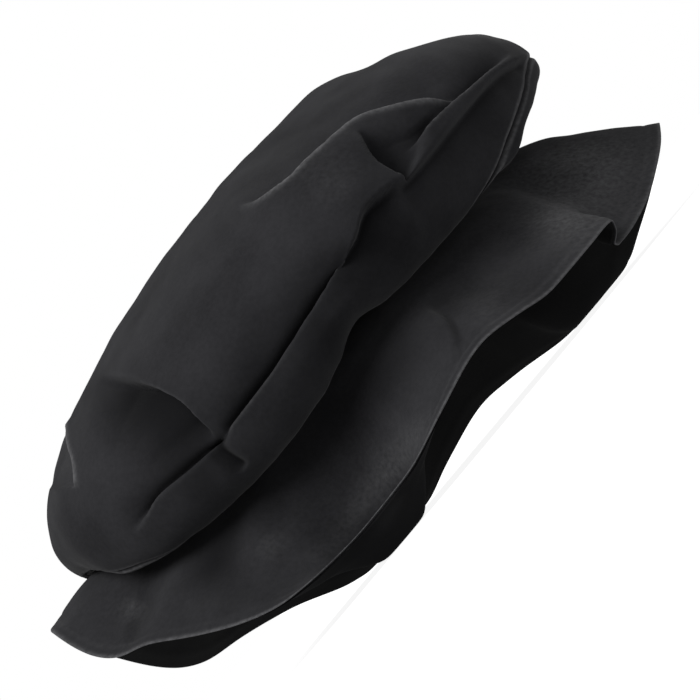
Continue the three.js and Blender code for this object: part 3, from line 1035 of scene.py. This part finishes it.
@dataclass
class Brim(SewnToRing):
    """The broad brim: an upper cloth and a dark facing, sewn together at a rolled edge."""

    cloth: float = 1.5
    profile_steps: int = 160
    halvings: int = 30
    least_droop: float = -40
    press: float = 4.5
    press_reach: float = 14
    press_soft: float = 1.6
    rows: int = 62
    column_step: float = 0.5
    fine_step: float = 0.25
    fine_from: float = 309
    fine_to: float = 331
    edge_blur: float = 1.4
    inner_blur: float = 3
    edge_thin: float = 0.6
    thin_over: float = 9
    roll_points: int = 6
    facing_short: float = 0.8
    hem_inside: float = 7.5
    hem_groove: float = 0.3
    hem_width: float = 1.2
    # Painted highlights beside the hem and round the edge.
    hem_highlight: float = 0.08
    hem_highlight_away: float = 2
    edge_highlight: float = 0.6
    # Painted shade on the facing where the front of the brim turns up.
    lip_azimuth: float = 254
    lip_spread: float = 24
    lip_shade: float = 0.6
    wave_azimuth: float = 319.5
    wave_spread: float = 6
    turn_from: float = 0.7
    wave_bow: float = 20
    bow_spread: float = 17
    bow_rise: float = 0.45
    outer_blend: tuple[float, float] = (0.35, 0.95)
    ring_fade: float = 0.15
    floor_fade: float = 14
    edge_fade: float = 12
    moulding: Moulding = Moulding(BRIM_LAPS, BRIM_HOLLOWS)
    ripples: tuple[Ripple, ...] = (Ripple(11, 40, 95, 0.6), Ripple(12, 10, 26, 0.12))

    def __post_init__(self) -> None:
        """Prepares the curves of the brim's tables."""
        self.height = RoundCurve.through(BRIM_EDGE, "height")
        self.leave = RoundCurve.through(BRIM_EDGE, "leave")
        self.width = RoundCurve.through(BRIM_CUT, "width")
        self.bend = RoundCurve.through(BRIM_CUT, "bend")
        self.turn = RoundCurve.through(WAVE_TURNS, "shift")

    @property
    def thickness(self) -> float:
        """The depth of both layers and the gap between them."""
        return 2 * self.cloth + self.gap

    def softened(self, curve: RoundCurve, azimuth: Array, inner: bool) -> Array:
        """A curve of the edge with its small kinks blurred, except at the sharp wave.

        Args:
            curve: the curve.
            azimuth: a row of azimuths.
            inner: whether to blur it more, and the wave too, for the cloth near the ring.

        Returns:
            The curve's values.
        """
        fine = np.arange(0, 360, self.fine_step)
        reach = self.inner_blur if inner else self.edge_blur
        smooth = blurred(curve(fine), reach / self.fine_step)
        soft = np.interp(azimuth % 360, fine, smooth, period=360)
        sharp = 0 if inner else nearness(azimuth, self.wave_azimuth, self.wave_spread)
        return soft + (curve(azimuth) - soft) * sharp

    def profile(self, azimuth: Array, inner: bool) -> tuple[Array, Array]:
        """The brim's profile at each azimuth.

        The cloth leaves the ring at its own slope, bends down to its full droop, and turns back
        out near its edge where it has a foot. The droop that brings the edge to its height is
        found by halving.

        Args:
            azimuth: a row of azimuths.
            inner: whether to use the more blurred curves of the cloth near the ring.

        Returns:
            The radius and the height, for each azimuth and each step out along the cloth.
        """
        leave = self.softened(self.leave, azimuth, inner)[:, None]
        bend = self.bend(azimuth)[:, None]
        target = self.softened(self.height, azimuth, inner)
        step = self.width(azimuth)[:, None] / self.profile_steps
        u = ((np.arange(self.profile_steps) + 0.5) / self.profile_steps)[None, :]
        out = np.zeros((len(azimuth), self.profile_steps))
        for foot in BRIM_FEET:
            near = nearness(azimuth, foot.azimuth, foot.spread)[:, None]
            out += foot.turn * near * smoothstep(u, foot.start, foot.end)
        bent = smoothstep(u, 0, bend)

        def trace(droop: Array) -> tuple[Array, Array]:
            """The profile for a droop at each azimuth."""
            down = np.radians(leave + droop[:, None] * bent - out)
            start = np.zeros((len(azimuth), 1))
            r = np.concatenate([start, np.cumsum(step * np.cos(down), axis=1)], axis=1)
            z = np.concatenate([start, np.cumsum(step * np.sin(down), axis=1)], axis=1)
            return self.head_radius + r, self.ring_height - z

        low = np.full(len(azimuth), self.least_droop)
        high = 90 - leave[:, 0]
        for _ in range(self.halvings):
            middle = (low + high) / 2
            above = trace(middle)[1][:, -1] > target
            low = np.where(above, middle, low)
            high = np.where(above, high, middle)
        return trace(low)

    def settled(self, azimuth: Array, z: Array, thick: Array) -> Array:
        """Heights after the hat's weight has pressed the cloth of its feet flat.

        Args:
            azimuth: azimuths.
            z: the heights of the upper surface.
            thick: the depth of both layers there.

        Returns:
            The heights, with both layers above the floor.
        """
        near = [nearness(azimuth, foot.azimuth, foot.spread) for foot in BRIM_FEET]
        foot = np.max(near, axis=0)
        above = z - thick
        pressed = foot * self.press * (1 - smoothstep(above, 0, self.press_reach))
        lifted = (above - pressed + np.hypot(above - pressed, self.press_soft)) / 2
        return thick + lifted - lifted.min()

    def wave_shift(self, azimuth: Array, share: Array) -> Array:
        """How far the cloth is pushed round at the sharp wave, in degrees.

        The wave's far flank is drawn back behind its crest, the more the nearer to the edge.
        Between the ring and the edge the crest bows round towards its far side.
        """
        near = nearness(azimuth, self.wave_azimuth, self.bow_spread)
        bow = self.wave_bow * near * (1 - share) * smoothstep(share, 0, self.bow_rise)
        return self.turn(azimuth) * smoothstep(share, self.turn_from, 1) + bow

    def azimuths(self) -> Array:
        """Azimuths once round, closer together at the sharp wave."""
        coarse = np.arange(0, 360, self.column_step)
        fine = np.arange(self.fine_from, self.fine_to, self.fine_step)
        outside = (coarse < self.fine_from) | (coarse >= self.fine_to)
        return np.sort(np.concatenate([coarse[outside], fine]))

    def surface(self, azimuths: Array) -> tuple[Array, Array, Array, Array]:
        """The brim's upper surface.

        Args:
            azimuths: a row of azimuths once round.

        Returns:
            The points, in rows from the ring to the edge, their outward directions, how far
            inside the edge they lie, and the light painted on them.
        """
        edge_crowding = 0.82
        share = 1 - (1 - np.linspace(0, 1, self.rows + 1)) ** (1 / edge_crowding)
        at = share * self.profile_steps
        before = np.minimum(at.astype(int), self.profile_steps - 1)
        part = (at - before)[:, None]
        outer = smoothstep(share[:, None], *self.outer_blend)
        profiles = [self.profile(azimuths, inner) for inner in (True, False)]
        grids = []
        for pair in zip(*profiles):
            soft, sharp = (one.T[before] * (1 - part) + one.T[before + 1] * part for one in pair)
            grids.append(soft + (sharp - soft) * outer)
        r, z = grids
        inside = (1 - share[:, None]) * self.width(azimuths)[None, :]
        z = self.settled(azimuths[None, :], z, 2 * self.thinned(inside) + self.gap)
        turned = azimuths[None, :] + self.wave_shift(azimuths[None, :], share[:, None])
        points = around(r, turned, z)
        out = self.directions(points)
        relief, slip, painted_light = self.moulding.relief(points)
        free = smoothstep(share[:, None], 0, self.ring_fade)
        free = free * smoothstep(z, self.thickness, self.floor_fade)
        away_from_edge = smoothstep(inside, 0, self.edge_fade)
        for ripple in self.ripples:
            relief = relief + ripple(points)
        depth = relief * free * away_from_edge
        depth = depth - self.hem_groove * bell(inside - self.hem_inside, self.hem_width)
        slip = slip - out * np.sum(slip * out, axis=-1, keepdims=True)
        points = points + out * depth[..., None] + slip * (free * away_from_edge)[..., None]
        # Painted highlights beside the hem and round the edge.
        beside_hem = inside - self.hem_inside + self.hem_highlight_away
        painted_light = painted_light + self.hem_highlight * bell(beside_hem, self.hem_width)
        painted_light = painted_light + (self.edge_highlight - painted_light) * bell(inside, self.hem_width)
        return points, self.directions(points), inside, painted_light

    def directions(self, points: Array) -> Array:
        """The outward direction at each point of a grid that closes once round."""
        outwards = np.gradient(points, axis=0)
        round_it = np.roll(points, -1, axis=1) - np.roll(points, 1, axis=1)
        return unit(np.cross(outwards, round_it))

    def above_floor(self, points: Array) -> Array:
        """The points with none below the floor."""
        points[..., 2] = np.maximum(points[..., 2], 0)
        return points

    def wall(self, upper: Array, out: Array, thick: Array) -> Array:
        """Loops of points round a wall with a rounded edge.

        The edge is half a circle from the upper surface to the lower one.

        Args:
            upper: the wall's upper surface, in rows out to the edge.
            out: the outward direction at each of its points.
            thick: the wall's thickness at each of its points.

        Returns:
            Rows of points: the upper surface, the edge and the lower surface back to the ring.
        """
        outwards = unit(upper[-1] - upper[-2])
        radius = thick[-1][:, None] / 2
        turns = np.linspace(0, np.pi, self.roll_points)[1:-1, None, None]
        centre = upper[-1] - out[-1] * radius
        roll = centre + radius * (np.cos(turns) * out[-1] + np.sin(turns) * outwards)
        lower = (upper - out * thick[..., None])[::-1]
        return np.concatenate([upper, roll, lower])

    def thinned(self, inside: Array) -> Array:
        """The thickness of one layer, pressed thinner towards the sewn edge."""
        return self.cloth * (1 - self.edge_thin * (1 - smoothstep(inside, 0, self.thin_over)))

    def top(self, axis: tuple[float, float]) -> bpy.types.Object:
        """The upper cloth, with a highlight painted along its edge."""
        points, out, inside, painted_light = self.surface(self.azimuths())
        loops = self.wall(points, out, self.thinned(inside))
        # A painted highlight round the rolled edge.
        nap = np.zeros(loops.shape[:-1])
        nap[: len(painted_light)] = painted_light
        nap[len(painted_light) : -len(painted_light)] = self.edge_highlight
        return self.sewn("brim_top_cloth", axis, loops, nap)

    def facing(self, axis: tuple[float, float]) -> bpy.types.Object:
        """The dark under cloth, which ends just inside the edge.

        Shade is painted into it where the front of the brim turns up and shows it.
        """
        azimuths = self.azimuths()
        points, out, inside, _ = self.surface(azimuths)
        thick = self.thinned(inside)
        upper = points - out * (thick + self.gap)[..., None]
        outwards = unit(upper[-1] - upper[-2])
        upper[-1] = upper[-1] - outwards * self.facing_short
        # Painted shade where the front of the brim turns up.
        painted_shade = self.lip_shade * nearness(azimuths, self.lip_azimuth, self.lip_spread)
        return self.sewn("brim_facing_cloth", axis, self.wall(upper, out, thick), -painted_shade)

    def sewn(
        self, name: str, axis: tuple[float, float], loops: Array, nap: Array
    ) -> bpy.types.Object:
        """Loops of points round a wall as one closed piece, with none below the floor.

        Args:
            name: the piece's name.
            axis: the head ring's axis from the frame's origin.
            loops: the points.
            nap: the light painted at each of them, a highlight above 0 and shade below 0.

        Returns:
            The piece.
        """
        weaver = Weaver(axis)
        numbers = weaver.add(self.above_floor(loops), nap)
        weaver.ring(numbers)
        weaver.ring(numbers[[-1, 0]])
        return weaver.finish(name)


def calculated(
    tree: bpy.types.NodeTree,
    operation: str,
    *values: bpy.types.NodeSocket | float,
    clamp: bool = False,
) -> bpy.types.NodeSocket:
    """The result of a Math node.

    Args:
        tree: the node tree that it goes into.
        operation: the node's operation.
        values: the node's inputs in order, each a number or another node's output.
        clamp: whether the result is kept between 0 and 1.

    Returns:
        The node's output.
    """
    node = tree.nodes.new("ShaderNodeMath")
    node.operation = operation
    node.use_clamp = clamp
    for socket, value in zip(node.inputs, values):
        if isinstance(value, bpy.types.NodeSocket):
            tree.links.new(value, socket)
        else:
            socket.default_value = value
    return node.outputs[0]


@dataclass(frozen=True)
class NappedCloth:
    """A dark cloth with a short soft nap, mottled where the nap lies differently.

    The ramp from the dark colour to the light one goes from dark_at to light_at of the mottle,
    which is the patches and tuft_share of the tufts. The bump is fineness times as fine as the
    tufts.
    """

    name: str
    dark: tuple[float, float, float]
    light: tuple[float, float, float]
    # Colours of the painted highlight and the painted shade.
    painted_light: tuple[float, float, float] = (0.16, 0.16, 0.165)
    painted_shade: tuple[float, float, float] = (0.005, 0.005, 0.0055)
    roughness: float = 0.95
    specular: float = 0.02
    sheen: float = 0.05
    sheen_roughness: float = 0.45
    nap_size: float = 2.2
    patch_size: float = 40
    tuft_share: float = 0.4
    dark_at: float = 0.47
    light_at: float = 0.93
    fineness: float = 3
    bump: float = 0.3
    bump_depth: float = 0.3

    def material(self) -> bpy.types.Material:
        """The cloth as a node material.

        Two noises on Object coordinates, one of the nap's tufts and one of broad patches, mix
        the dark and the light colour, and a finer noise roughens the surface. The mesh gives
        painted light: a highlight painted along folds and edges, mixed with the tufts, and shade
        painted into tucks.
        """
        material = bpy.data.materials.new(self.name)
        material.use_nodes = True
        tree = material.node_tree
        shader = tree.nodes["Principled BSDF"]
        shader.inputs["Roughness"].default_value = self.roughness
        shader.inputs["Specular IOR Level"].default_value = self.specular
        shader.inputs["Sheen Weight"].default_value = self.sheen
        shader.inputs["Sheen Roughness"].default_value = self.sheen_roughness
        place = tree.nodes.new("ShaderNodeTexCoord").outputs["Object"]
        tufts = self.noise(tree, place, 1 / (self.nap_size * MM), detail=4)
        patches = self.noise(tree, place, 1 / (self.patch_size * MM), detail=3)
        fine = self.noise(tree, place, self.fineness / (self.nap_size * MM), detail=2)
        mottle = calculated(tree, "MULTIPLY_ADD", tufts, self.tuft_share, patches)
        ramp = tree.nodes.new("ShaderNodeValToRGB")
        ramp.color_ramp.elements[0].position = self.dark_at
        ramp.color_ramp.elements[0].color = (*self.dark, 1)
        ramp.color_ramp.elements[1].position = self.light_at
        ramp.color_ramp.elements[1].color = (*self.light, 1)
        tree.links.new(mottle, ramp.inputs["Fac"])
        # The mesh's painted highlight, mixed with the tufts, and its painted shade go into the
        # colour.
        nap = tree.nodes.new("ShaderNodeAttribute")
        nap.attribute_name = PAINTED_LIGHT
        highlight_share = calculated(tree, "MULTIPLY", nap.outputs["Fac"], tufts, clamp=True)
        shade_share = calculated(tree, "MULTIPLY", nap.outputs["Fac"], -1, clamp=True)
        lifted = self.mix(tree, highlight_share, ramp.outputs["Color"], self.painted_light)
        painted_shade = self.mix(tree, shade_share, lifted, self.painted_shade)
        tree.links.new(painted_shade, shader.inputs["Base Color"])
        relief = tree.nodes.new("ShaderNodeBump")
        relief.inputs["Strength"].default_value = self.bump
        relief.inputs["Distance"].default_value = self.bump_depth * MM
        tree.links.new(fine, relief.inputs["Height"])
        tree.links.new(relief.outputs["Normal"], shader.inputs["Normal"])
        return material

    def mix(
        self,
        tree: bpy.types.NodeTree,
        share: bpy.types.NodeSocket,
        cloth: bpy.types.NodeSocket,
        colour: tuple[float, float, float],
    ) -> bpy.types.NodeSocket:
        """A mix of the cloth's colour with another one.

        Args:
            tree: the material's node tree.
            share: the output that gives the other colour's share.
            cloth: the output that gives the cloth's colour.
            colour: the other colour.

        Returns:
            The output that gives the mixed colour.
        """
        mix = tree.nodes.new("ShaderNodeMix")
        mix.data_type = "RGBA"
        mix.inputs["B"].default_value = (*colour, 1)
        tree.links.new(share, mix.inputs["Factor"])
        tree.links.new(cloth, mix.inputs["A"])
        return mix.outputs["Result"]

    def noise(
        self, tree: bpy.types.NodeTree, place: bpy.types.NodeSocket, scale: float, detail: float
    ) -> bpy.types.NodeSocket:
        """A noise on Object coordinates.

        Args:
            tree: the material's node tree.
            place: the output that gives the Object coordinates.
            scale: the noise's scale, in cells for each metre.
            detail: the noise's octaves.

        Returns:
            The output that gives the noise.
        """
        noise = tree.nodes.new("ShaderNodeTexNoise")
        noise.inputs["Scale"].default_value = scale
        noise.inputs["Detail"].default_value = detail
        tree.links.new(place, noise.inputs["Vector"])
        return noise.outputs["Fac"]


CROWN_CLOTH = NappedCloth("crown_cloth", (0.014, 0.014, 0.0153), (0.025, 0.025, 0.0272))
BRIM_CLOTH = NappedCloth("brim_cloth", (0.0145, 0.0145, 0.0158), (0.028, 0.028, 0.0303))
FACING_CLOTH = NappedCloth(
    "facing_cloth",
    (0.009, 0.009, 0.0092),
    (0.012, 0.012, 0.0122),
    sheen=0.0,
    nap_size=1.2,
)


@dataclass(frozen=True)
class Studio:
    """A pale floor, soft light from above the hat, and the camera."""

    axis: tuple[float, float]
    distance: float = 2500
    eye_height: float = 21.8
    aim_x: float = 8.0
    aim_z: float = 75.9
    view_width: float = 330.2
    sensor_width: float = 36
    roll: float = 50
    floor_half: float = 60000
    floor_drop: float = 0.3
    floor_glow: float = 0.91
    floor_light: float = 0.5
    floor_pale: float = 0.3
    ambient: float = 0.16

    def build(self) -> None:
        """Makes the floor, the world, the lights and the camera."""
        self.floor()
        self.world()
        self.sun("key_light", (-0.5, -0.52, 1.03), power=3.1, width=38)
        self.sun("back_light", (0.35, 0.8, 0.9), power=0.6, width=60)
        self.sun("top_light", (0.0, -0.3, 1.0), power=0.55, width=110)
        self.camera()
        bpy.context.scene.view_settings.view_transform = "Standard"

    def floor(self) -> None:
        """A wide plain pale floor just under the hat, which glows so that its shadows are soft.

        The eye sees floor_glow, and the hat is lit by floor_light and by what the floor's own
        pale colour throws back.
        """
        half = self.floor_half
        corners = [(-half, -half), (half, -half), (half, half), (-half, half)]
        mesh = bpy.data.meshes.new("floor")
        points = [(x * MM, y * MM, -self.floor_drop * MM) for x, y in corners]
        mesh.from_pydata(points, [], [(0, 1, 2, 3)])
        floor = placed("floor", mesh)
        paint = bpy.data.materials.new("floor_paint")
        paint.use_nodes = True
        tree = paint.node_tree
        shader = tree.nodes["Principled BSDF"]
        shader.inputs["Base Color"].default_value = (*[self.floor_pale] * 3, 1)
        shader.inputs["Roughness"].default_value = 1.0
        shader.inputs["Specular IOR Level"].default_value = 0.0
        shader.inputs["Emission Color"].default_value = (1, 1, 1, 1)
        seen = tree.nodes.new("ShaderNodeLightPath").outputs["Is Camera Ray"]
        extra = self.floor_glow - self.floor_light
        glow = calculated(tree, "MULTIPLY_ADD", seen, extra, self.floor_light)
        tree.links.new(glow, shader.inputs["Emission Strength"])
        floor.data.materials.append(paint)

    def world(self) -> None:
        """A white surround for the eye, which lights the hat less than it shows."""
        world = bpy.data.worlds.new("studio")
        world.use_nodes = True
        bpy.context.scene.world = world
        nodes = world.node_tree.nodes
        links = world.node_tree.links
        shown = nodes["Background"]
        shown.inputs["Color"].default_value = (1, 1, 1, 1)
        shown.inputs["Strength"].default_value = 1.0
        lighting = nodes.new("ShaderNodeBackground")
        lighting.inputs["Color"].default_value = (1, 1, 1, 1)
        lighting.inputs["Strength"].default_value = self.ambient
        path = nodes.new("ShaderNodeLightPath")
        mix = nodes.new("ShaderNodeMixShader")
        links.new(path.outputs["Is Camera Ray"], mix.inputs["Fac"])
        links.new(lighting.outputs["Background"], mix.inputs[1])
        links.new(shown.outputs["Background"], mix.inputs[2])
        links.new(mix.outputs["Shader"], nodes["World Output"].inputs["Surface"])

    def sun(
        self, name: str, towards: tuple[float, float, float], power: float, width: float
    ) -> None:
        """A broad soft light from far away.

        Args:
            name: the light's name.
            towards: the direction from the hat to the light.
            power: the light on a surface that faces it, in watts for each square metre.
            width: how wide the light looks from the hat, in degrees.
        """
        light = bpy.data.lights.new(name, "SUN")
        light.energy = power
        light.angle = math.radians(width)
        placed(name, light).rotation_euler = Vector(towards).to_track_quat("Z", "Y").to_euler()

    def camera(self) -> None:
        """A long lens just above the floor, rolled so that the hat's top points up and left."""
        eye = Vector((self.axis[0], self.axis[1] - self.distance, self.eye_height)) * MM
        aim = Vector((self.axis[0] + self.aim_x, self.axis[1], self.aim_z)) * MM
        forward = (aim - eye).normalized()
        right = forward.cross(Vector((0, 0, 1))).normalized()
        up = right.cross(forward)
        turn = math.radians(self.roll)
        rolled_up = up * math.cos(turn) + right * math.sin(turn)
        rolled_right = forward.cross(rolled_up)
        data = bpy.data.cameras.new("camera")
        data.sensor_width = self.sensor_width
        data.lens = self.sensor_width * self.distance / self.view_width
        camera = placed("camera", data)
        axes = Matrix((rolled_right, rolled_up, -forward)).transposed().to_4x4()
        camera.matrix_world = Matrix.Translation(eye) @ axes
        bpy.context.scene.camera = camera


class ClothPiece(NamedTuple):
    """One sewn piece: what it replaces, its finish, and the flat cut that it was made from."""

    build: Callable[[tuple[float, float]], bpy.types.Object]
    node: str
    cloth: NappedCloth
    held: str
    cut: tuple[float, float]
    area: float
    rests_on: tuple[str, ...]


def head_axis(record: dict) -> tuple[float, float]:
    """The head ring's axis in millimetres, from the middle of the record's head opening."""
    openings = {opening["name"]: opening["box_m"] for opening in record["physics"]["openings"]}
    low, high = openings["head_opening"]
    return (low[0] + high[0]) / 2 / MM, (low[1] + high[1]) / 2 / MM


def make_piece(piece: ClothPiece, axis: tuple[float, float]) -> None:
    """Builds one piece of cloth, dresses it and ties it to the frame.

    Args:
        piece: what to build.
        axis: the head ring's axis in millimetres.
    """
    made = piece.build(axis)
    made.data.materials.append(piece.cloth.material())
    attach(made, "root")
    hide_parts(piece.node)
    triangles = sum(len(face.vertices) - 2 for face in made.data.polygons)
    LOG.info("%s: %d triangles", made.name, triangles)


def main() -> None:
    """Builds the hat round its frame, and the studio round the hat."""
    logging.basicConfig(level=logging.INFO, format="%(name)s: %(message)s")
    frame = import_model()
    axis = head_axis(frame["record"])
    crown = Crown()
    brim = Brim()
    Studio(axis).build()
    pieces = (
        ClothPiece(
            crown.tip, "crown_tip", CROWN_CLOTH, "gathered", (0.41, 0.41), 0.128, ("crown_side",)
        ),
        ClothPiece(
            crown.side, "crown_side", CROWN_CLOTH, "gathered", (0.32, 0.32), 0.046, ("brim_top",)
        ),
        ClothPiece(
            brim.top, "brim_top", BRIM_CLOTH, "draped", (0.40, 0.40), 0.096, ("brim_facing",)
        ),
        ClothPiece(
            brim.facing, "brim_facing", FACING_CLOTH, "draped", (0.40, 0.40), 0.095, ("floor",)
        ),
    )
    for piece in pieces:
        make_piece(piece, axis)


if __name__ == "__main__":
    main()
